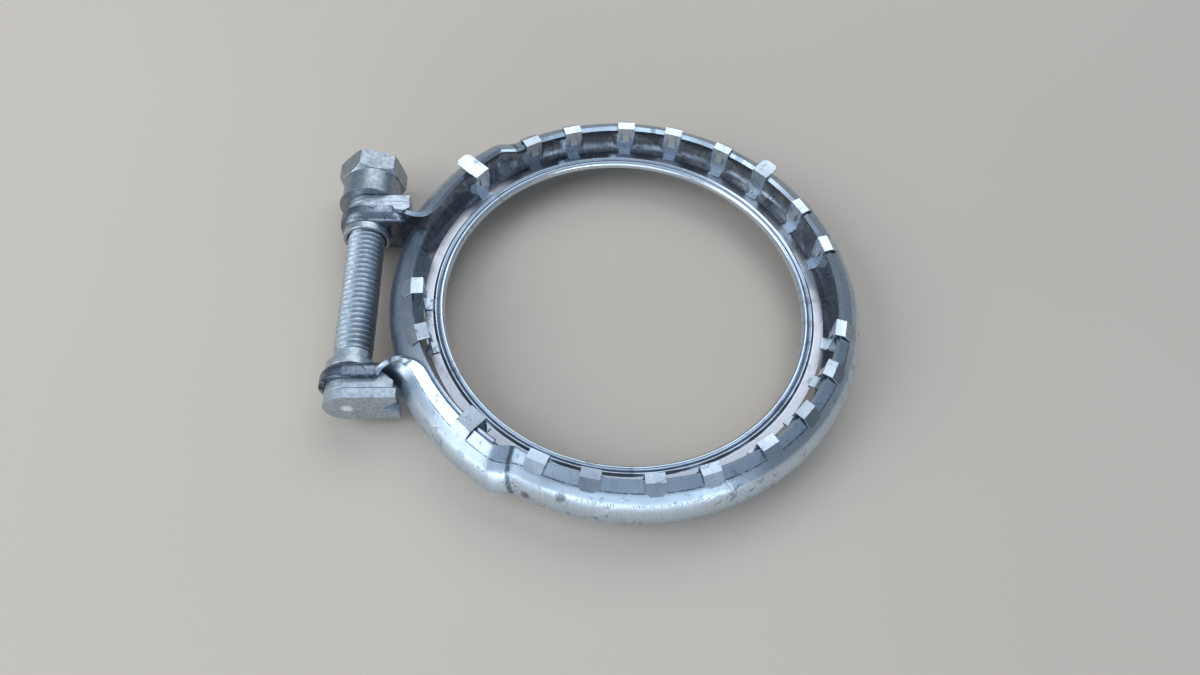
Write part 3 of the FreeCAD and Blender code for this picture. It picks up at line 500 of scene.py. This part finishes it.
def press_marks_and_shade(material):
    """Marks of the rolls as hatched strokes on the shoulder and blots beside the joggle, with painted shade
    over the flank, along the crease and along the joggle.
    """
    tree = material.node_tree
    sheet = add(tree, "ShaderNodeSeparateXYZ", [(0, coordinates(tree, "sheet"))])
    along, across = sheet.outputs["X"], maths(tree, "ABSOLUTE", sheet.outputs["Y"])
    place = coordinates(tree)
    spread = add(tree, "ShaderNodeSeparateXYZ", [(0, place)])
    x, y, z = spread.outputs["X"], spread.outputs["Y"], spread.outputs["Z"]
    broken = noise(tree, place, 1.3, 4.0)
    run = maths(tree, "MULTIPLY", along, math.tau / HATCH_STEP)
    wave = maths(tree, "SINE", maths(tree, "MULTIPLY_ADD", across, HATCH_SLANT, run))
    strokes = remap(tree, wave, 0.0, 0.6)
    shoulder = near(tree, across, *SHOULDER)
    lower = times(tree, remap(tree, y, HATCH_START, HATCH_FULL), near(tree, x, *HATCHED_WIDTH))
    # Painted shade: the flank past the shoulder is half covered with the shade colour.
    marked(material, remap(tree, across, SHOULDER[0], SHOULDER[0] + 0.5, 0, 0.5), SHADE)
    marked(material, times(tree, shoulder, strokes, lower, remap(tree, broken, 0.42, 0.6)), STROKE_AND_SHADE_DARK)
    # Painted shade: a broken dark line along the crease between corner and flank.
    crease = near(tree, across, *CREASE)
    marked(material, times(tree, crease, remap(tree, broken, 0.3, 0.55)), STROKE_AND_SHADE_DARK)
    # Painted shade: a broken dark line along the foot of the outward step.
    out = maths(tree, "SUBTRACT", x, STRAP_SHIFT)
    azimuth = maths(tree, "DEGREES", maths(tree, "ARCTAN2", maths(tree, "ABSOLUTE", y), out))
    slant = JOGGLE_SLANT / EDGE_HEIGHT
    foot = maths(tree, "MULTIPLY_ADD", maths(tree, "ABSOLUTE", z), slant, JOGGLE_FOOT + 1.0)
    line = near(tree, maths(tree, "SUBTRACT", azimuth, foot), *JOGGLE_LINE)
    marked(material, times(tree, line, remap(tree, broken, 0.25, 0.5, 0.2, 0.85)), JOGGLE_SHADE_DARK)
    for middle, radius in BLOTS:
        marked(material, times(tree, spot(tree, place, middle, radius, 2.0), 0.7), BLOT_DARK)


strap_steel = metal("rolled_strap_steel", (0.70, 0.79, 0.88), (0.53, 0.61, 0.70), (0.17, 0.20, 0.25),
                    shine=0.3, rough=0.42, brush=2.4, patch=0.09, uv_map="sheet")
press_marks_and_shade(strap_steel)
# Painted shade: the groove side is the strap's own steel painted much darker, standing in for the shade
# inside the groove.
groove_shade_steel = metal("strap_groove_steel", (0.36, 0.41, 0.48), (0.13, 0.15, 0.19), (0.04, 0.05, 0.07),
                     shine=0.22, rough=0.4, brush=1.6, patch=0.16, uv_map="sheet")
strap.data.materials[OUTSIDE] = strap_steel
strap.data.materials[GROOVE] = groove_shade_steel
dress(strap, strap_steel, "clamp", "strap", "band")


# Bridge. A thinner sheet of the strap's own section that closes the gap between its ends: one end
# is nested in the strap's lower end, and the other is free.

MERGE_DISTANCE = 1e-6
FLAT_ENOUGH = math.radians(0.6)


def copy_of(node, name):
    """Copy of a CAD node's mesh with its triangles joined to clean faces."""
    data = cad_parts[node].data.copy()
    data.name = name
    mesh = bmesh.new()
    mesh.from_mesh(data)
    bmesh.ops.remove_doubles(mesh, verts=mesh.verts, dist=MERGE_DISTANCE)
    bmesh.ops.dissolve_limit(mesh, angle_limit=FLAT_ENOUGH, verts=mesh.verts, edges=mesh.edges)
    mesh.to_mesh(data)
    mesh.free()
    data.materials.clear()
    piece = bpy.data.objects.new(name, data)
    bpy.context.scene.collection.objects.link(piece)
    return piece


bridge = copy_of("bridge_piece", "bridge")
soften(bridge, width=0.12, angle=50, smooth=50)
bridge_steel = metal("rolled_bridge_steel", (0.38, 0.44, 0.52), (0.27, 0.32, 0.39), (0.16, 0.19, 0.24),
                     shine=0.28, rough=0.4, brush=0.9, patch=0.1)
dress(bridge, bridge_steel, "clamp", "bridge", "bridge_piece")


# Gasket. A ring of thin stainless sheet, embossed with two beads beside the bore and turned down to
# a lip. It lies in the strap's groove, where the spring clips hold it.

BORE_RADIUS, GASKET_RIM = 38.5, 43.0
GASKET_SHEET = 0.4
BEAD_CRESTS = (39.25, 40.4)
BEAD_HALF, BEAD_RISE = 0.6, 0.65
FLANGE_TOP, FLANGE_START = 0.35, 41.1
LIP_END = -0.5
# Points of the lip as distance out from the bore and height.
LIP_LINE = ((0.0, LIP_END), (0.0, -0.4), (0.02, 0.0), (0.1, 0.3), (0.25, 0.6), (0.45, 0.88))
BEAD_STEP = 0.1
FLANGE_RADII = (41.4, 42.2, GASKET_RIM)
SPIN_STEPS = 180
RING_MIDDLE = 40


def gasket_height(radius):
    """Top of the sheet at a radius: the flange with its two rounded beads."""
    rise = 0.0
    for crest in BEAD_CRESTS:
        distance = abs(radius - crest) / BEAD_HALF
        if distance < 1:
            rise = max(rise, BEAD_RISE * (0.5 + 0.5 * math.cos(math.pi * distance)))
    return FLANGE_TOP + rise


line = [(BORE_RADIUS + out, height) for out, height in LIP_LINE]
beads = np.arange(BEAD_CRESTS[0], FLANGE_START, BEAD_STEP)
line += [(radius, gasket_height(radius)) for radius in beads]
line += [(radius, FLANGE_TOP) for radius in FLANGE_RADII]
data = bpy.data.meshes.new("gasket")
data.from_pydata([(radius * MM, 0, height * MM) for radius, height in line],
                 [(i, i + 1) for i in range(len(line) - 1)], [])
gasket = bpy.data.objects.new("gasket", data)
bpy.context.scene.collection.objects.link(gasket)
only(gasket)
bpy.ops.object.mode_set(mode="EDIT")
bpy.ops.mesh.select_all(action="SELECT")
bpy.ops.mesh.spin(steps=SPIN_STEPS, angle=math.tau, center=(0, 0, 0), axis=(0, 0, 1))
bpy.ops.mesh.select_all(action="SELECT")
bpy.ops.mesh.remove_doubles(threshold=MERGE_DISTANCE)
bpy.ops.mesh.normals_make_consistent(inside=False)
bpy.ops.object.mode_set(mode="OBJECT")
top_face = max(gasket.data.polygons, key=lambda face: face.center.z)
if top_face.normal.z < 0:
    gasket.data.flip_normals()
apply_modifier(gasket, "SOLIDIFY", thickness=GASKET_SHEET * MM, offset=-1, use_even_offset=True)
soften(gasket, width=0.06, angle=60, smooth=60)
ring_map = gasket.data.uv_layers.new(name="ring")
for face in gasket.data.polygons:
    middle = math.atan2(face.center.y, face.center.x)
    for loop in face.loop_indices:
        x, y, z = gasket.data.vertices[gasket.data.loops[loop].vertex_index].co / MM
        turn = math.remainder(math.atan2(y, x) - middle, math.tau) + middle
        ring_map.data[loop].uv = (math.hypot(x, y) - z, turn * RING_MIDDLE)
# Painted sheen: this bright base stays on the beads and the lip, and the flange is painted darker below.
gasket_steel = metal("embossed_gasket_steel", (0.72, 0.79, 0.86), (0.58, 0.65, 0.72), (0.34, 0.37, 0.41),
                     shine=0.26, rough=0.34, brush=0.9, patch=0.05, uv_map="ring")
tree = gasket_steel.node_tree
spread = add(tree, "ShaderNodeSeparateXYZ", [(0, coordinates(tree))])
squares = [maths(tree, "MULTIPLY", spread.outputs[axis], spread.outputs[axis]) for axis in ("X", "Y")]
radius = maths(tree, "SQRT", maths(tree, "ADD", *squares))
FLANGE_SHADE_GREY, VALLEY_SHADE = (0.36, 0.36, 0.40), (0.08, 0.11, 0.18)
VALLEY = (sum(BEAD_CRESTS) / 2, 0.22, 0.12)
# Painted shade: the flat flange is painted a darker grey than the beads.
marked(gasket_steel, remap(tree, radius, FLANGE_START - 0.2, FLANGE_START + 0.2, 0, 0.85), FLANGE_SHADE_GREY)
# Painted shade: a dark line in the valley between the two beads.
marked(gasket_steel, near(tree, radius, *VALLEY), VALLEY_SHADE)
dress(gasket, gasket_steel, "clamp", "gasket", "gasket_ring")


# Spring clips. Twenty bent strips of thin sheet that hook over the edge of the strap or the bridge.
# Most have two barbs bent back and a tongue; one is plain, and two have their outer tab bent up.

CLIP_COUNT = 20
CLIP_COLOURS = ((0.60, 0.67, 0.74), (0.46, 0.53, 0.61), (0.24, 0.28, 0.34))
# Painted light and shade: the clips are one spring steel in three copies, lighter for the clips on which
# light falls and darker for those in shade; bright and dull name these copies.
CLIP_LIGHT_SHARES = {"bright": 1.1, "plain": 0.92, "dull": 0.7}
LIT_CLIPS = (1, 4, 5, 9, 14, 17)
SHADED_CLIPS = (2, 7, 11, 12, 16, 18, 19)
clip_steels = {}
for tone, share in CLIP_LIGHT_SHARES.items():
    colours = [tuple(part * share for part in colour) for colour in CLIP_COLOURS]
    clip_steels[tone] = metal("spring_clip_steel_" + tone, *colours,
                              shine=0.24, rough=0.34, brush=1.6, patch=0.16)
for number in range(1, CLIP_COUNT + 1):
    clip = copy_of("clip_%02d" % number, "spring_clip_%02d" % number)
    soften(clip, width=0.07, angle=32, smooth=50)
    tone = "bright" if number in LIT_CLIPS else "dull" if number in SHADED_CLIPS else "plain"
    dress(clip, clip_steels[tone], "clamp", "clips", "clip_%02d" % number)


# T-bolt. Forged in one piece and zinc coated: a flat head with a V notch and a centre mark, a smooth
# neck and a rolled M8 thread.

THREAD_RADIUS, THREAD_ROOT, PITCH = 4.0, 3.3, 1.25
THREAD_START, THREAD_TIP, TIP_CHAMFER = -13.6, 35.85, 0.7
RUN_OUT_RADIUS, RUN_OUT_SLOPE = 3.75, 0.2
THREAD_FACETS = 36
NECK_CUT = -13.5


def cut_piece(piece, level, side):
    """Cut a piece across the bolt, keep the stretch on one side and close it."""
    mesh = bmesh.new()
    mesh.from_mesh(piece.data)
    cut = bmesh.ops.bisect_plane(mesh, geom=mesh.verts[:] + mesh.edges[:] + mesh.faces[:],
                                 plane_co=(0, level * MM, 0), plane_no=(0, side, 0), clear_inner=True)
    rim = [item for item in cut["geom_cut"] if isinstance(item, bmesh.types.BMEdge)]
    bmesh.ops.holes_fill(mesh, edges=rim, sides=0)
    mesh.to_mesh(piece.data)
    mesh.free()


def thread():
    """Helix of a right-hand thread along the bolt, with a chamfered tip and a run-out at the neck.

    Its profile is made of radii and shares of the pitch.
    """
    flank_top = THREAD_RADIUS - 0.05
    profile = [(THREAD_ROOT, 0.0), (THREAD_ROOT, 0.15), (flank_top, 0.5), (THREAD_RADIUS, 0.54),
               (THREAD_RADIUS, 0.62), (flank_top, 0.66), (THREAD_ROOT, 1.0)]
    first = THREAD_START - 2 * PITCH
    data = bpy.data.meshes.new("thread")
    data.from_pydata([(radius * MM, (first + share * PITCH) * MM, 0) for radius, share in profile],
                     [(i, i + 1) for i in range(len(profile) - 1)], [])
    piece = bpy.data.objects.new("thread", data)
    bpy.context.scene.collection.objects.link(piece)
    turns = math.ceil((THREAD_TIP - first) / PITCH) + 1
    apply_modifier(piece, "SCREW", axis="Y", screw_offset=PITCH * MM, iterations=turns, steps=THREAD_FACETS,
                   render_steps=THREAD_FACETS, use_merge_vertices=True,
                   merge_threshold=MERGE_DISTANCE)
    for vertex in piece.data.vertices:
        x, y, z = vertex.co / MM
        radius = math.hypot(x, z)
        at_tip = THREAD_RADIUS - max(0.0, y - THREAD_TIP + TIP_CHAMFER)
        at_neck = RUN_OUT_RADIUS + max(0.0, y - THREAD_START) * RUN_OUT_SLOPE
        limit = min(at_tip, at_neck)
        if radius > limit:
            vertex.co = Vector((x * limit / radius, y, z * limit / radius)) * MM
        vertex.co.x += BOLT_X * MM
    mesh = bmesh.new()
    mesh.from_mesh(piece.data)
    bmesh.ops.remove_doubles(mesh, verts=mesh.verts, dist=MERGE_DISTANCE)
    bmesh.ops.recalc_face_normals(mesh, faces=mesh.faces)
    mesh.to_mesh(piece.data)
    mesh.free()
    cut_piece(piece, THREAD_START, 1)
    cut_piece(piece, THREAD_TIP, -1)
    only(piece)
    bpy.ops.object.mode_set(mode="EDIT")
    bpy.ops.mesh.select_all(action="SELECT")
    bpy.ops.mesh.normals_make_consistent(inside=False)
    bpy.ops.object.mode_set(mode="OBJECT")
    bpy.ops.object.shade_smooth_by_angle(angle=math.radians(30))
    return piece


bolt = copy_of("t_bolt", "bolt")
cut_piece(bolt, NECK_CUT, -1)
soften(bolt, width=0.22, angle=35, segments=3)
helix = thread()
only(bolt)
helix.select_set(True)
bpy.ops.object.join()
bolt_zinc = zinc("bolt_zinc", (0.50, 0.57, 0.63), (0.36, 0.41, 0.47), shine=0.34, rough=0.48, size=1.1)
HEAD_END, MARK_RADIUS, MARK_RAG = -25.5, 1.5, 0.5
MARK_BRIGHT = (0.95, 0.96, 0.97)
tree = bolt_zinc.node_tree
punched = spot(tree, coordinates(tree), (BOLT_X, HEAD_END, 0), MARK_RADIUS, MARK_RAG)
marked(bolt_zinc, times(tree, punched, 0.95), MARK_BRIGHT)
dress(bolt, bolt_zinc, "clamp", "bolt", "t_bolt")


# Thrust plates. D-shaped, zinc-coated steel plates. One lies in each ear, and a second upper one
# lies under the nut and moves with it.

plate_zinc = zinc("plate_zinc", (0.52, 0.57, 0.63), (0.36, 0.41, 0.47), shine=0.34, rough=0.46, size=0.9)
for node, body in (("lower_thrust_plate", "clamp"), ("upper_thrust_plate_inner", "clamp"),
                   ("upper_thrust_plate_outer", "nut_carriage")):
    plate = copy_of(node, node.replace("thrust_plate", "washer"))
    soften(plate, width=0.3, angle=40, segments=3)
    dress(plate, plate_zinc, body, "plates", node)


# Bushes. Turned steel rings with a zinc coat, one in the hole of each ear. The bolt passes through
# both.

bush_zinc = zinc("bush_zinc", (0.50, 0.55, 0.60), (0.34, 0.38, 0.43), shine=0.32, rough=0.44, size=0.9)
for node in ("upper_bush", "lower_bush"):
    ring = copy_of(node, node.replace("bush", "ring"))
    soften(ring, width=0.28, angle=40, segments=3)
    dress(ring, bush_zinc, "clamp", "bushes", node)


# Nut. Turned in one piece with a foot, a collar and a hexagon at its outer end, and zinc coated.
# It screws along the bolt and pushes the outer thrust plate.

nut_zinc = zinc("nut_zinc", (0.36, 0.40, 0.44), (0.24, 0.28, 0.33), shine=0.32, rough=0.46, size=0.8)
nut = copy_of("collar_nut", "nut_body")
soften(nut, width=0.14, angle=24, segments=2, smooth=30)
dress(nut, nut_zinc, "nut", "nut", "collar_nut")


# Stage: a plain pale floor, soft light mostly from the left and the front, and the camera at the
# photograph's viewing angle.

FLOOR_LEVEL, FLOOR_SIZE = -7.32, 6
bpy.ops.mesh.primitive_plane_add(size=FLOOR_SIZE, location=(0, 0, FLOOR_LEVEL * MM))
floor = bpy.context.object
floor.name = "floor"
paper, tree, shader = finish_of("pale_paper")
place = add(tree, "ShaderNodeTexCoord").outputs["Object"]
PAPER_CLOUD = 6.0
PAPER_DARK, PAPER_LIGHT = (0.56, 0.485, 0.41), (0.60, 0.525, 0.45)
cloud = noise(tree, place, PAPER_CLOUD)
tree.links.new(mixed(tree, cloud, PAPER_DARK, PAPER_LIGHT), shader.inputs["Base Color"])
shader.inputs["Roughness"].default_value = 0.9
floor.data.materials.append(paper)

LOW_LIGHT, LEVEL_LIGHT, HIGH_LIGHT = (0.16, 0.16, 0.17), (0.28, 0.34, 0.42), (0.62, 0.74, 0.9)
LEVEL_AT, ROOM_STRENGTH = 0.45, 0.8
world = bpy.data.worlds.new("room")
bpy.context.scene.world = world
world.use_nodes = True
tree = world.node_tree
direction = add(tree, "ShaderNodeTexCoord").outputs["Generated"]
height = add(tree, "ShaderNodeSeparateXYZ", [(0, direction)]).outputs["Z"]
ramp = add(tree, "ShaderNodeValToRGB", [("Fac", remap(tree, height, -0.1, 1.0))])
ramp.color_ramp.elements[0].color = (*LOW_LIGHT, 1)
ramp.color_ramp.elements[1].color = (*HIGH_LIGHT, 1)
middle = ramp.color_ramp.elements.new(LEVEL_AT)
middle.color = (*LEVEL_LIGHT, 1)
tree.links.new(ramp.outputs["Color"], tree.nodes["Background"].inputs["Color"])
tree.nodes["Background"].inputs["Strength"].default_value = ROOM_STRENGTH


def lamp(name, place, width, height, power, colour):
    """Soft rectangular lamp that looks at the middle of the clamp."""
    light = bpy.data.lights.new(name, "AREA")
    light.shape = "RECTANGLE"
    light.size, light.size_y = width, height
    light.energy = power
    light.color = colour
    holder = bpy.data.objects.new(name, light)
    holder.location = place
    holder.rotation_euler = (-Vector(place)).to_track_quat("-Z", "Y").to_euler()
    bpy.context.scene.collection.objects.link(holder)


lamp("window", (-0.6, -0.12, 0.44), 0.6, 0.42, 3.0, (0.9, 0.96, 1.0))
lamp("ceiling", (0.12, 0.5, 0.62), 0.8, 0.5, 2.2, (0.93, 0.97, 1.0))
lamp("front", (0.05, -0.7, 0.13), 1.0, 0.14, 2.0, (0.8, 0.91, 1.0))
lamp("low_window", (-0.62, -0.4, 0.1), 0.4, 0.14, 0.9, (0.86, 0.94, 1.0))

PITCH_DOWN, ROLL, RING_TURN = 58.45, 6.41, 7.7
CAMERA_PLACE = (-4.493, -109.092, 161.514)
camera_data = bpy.data.cameras.new("camera")
camera_data.lens, camera_data.sensor_width = 27.0, 36.0
camera_data.clip_start = 0.01
camera = bpy.data.objects.new("camera", camera_data)
bpy.context.scene.collection.objects.link(camera)
bpy.context.scene.camera = camera
camera.matrix_world = (Matrix.Rotation(-math.radians(RING_TURN), 4, "Z")
                       @ Matrix.Translation(Vector(CAMERA_PLACE) * MM)
                       @ Matrix.Rotation(math.radians(90 - PITCH_DOWN), 4, "X")
                       @ Matrix.Rotation(math.radians(ROLL), 4, "Z"))
bpy.context.scene.view_settings.view_transform = "Standard"
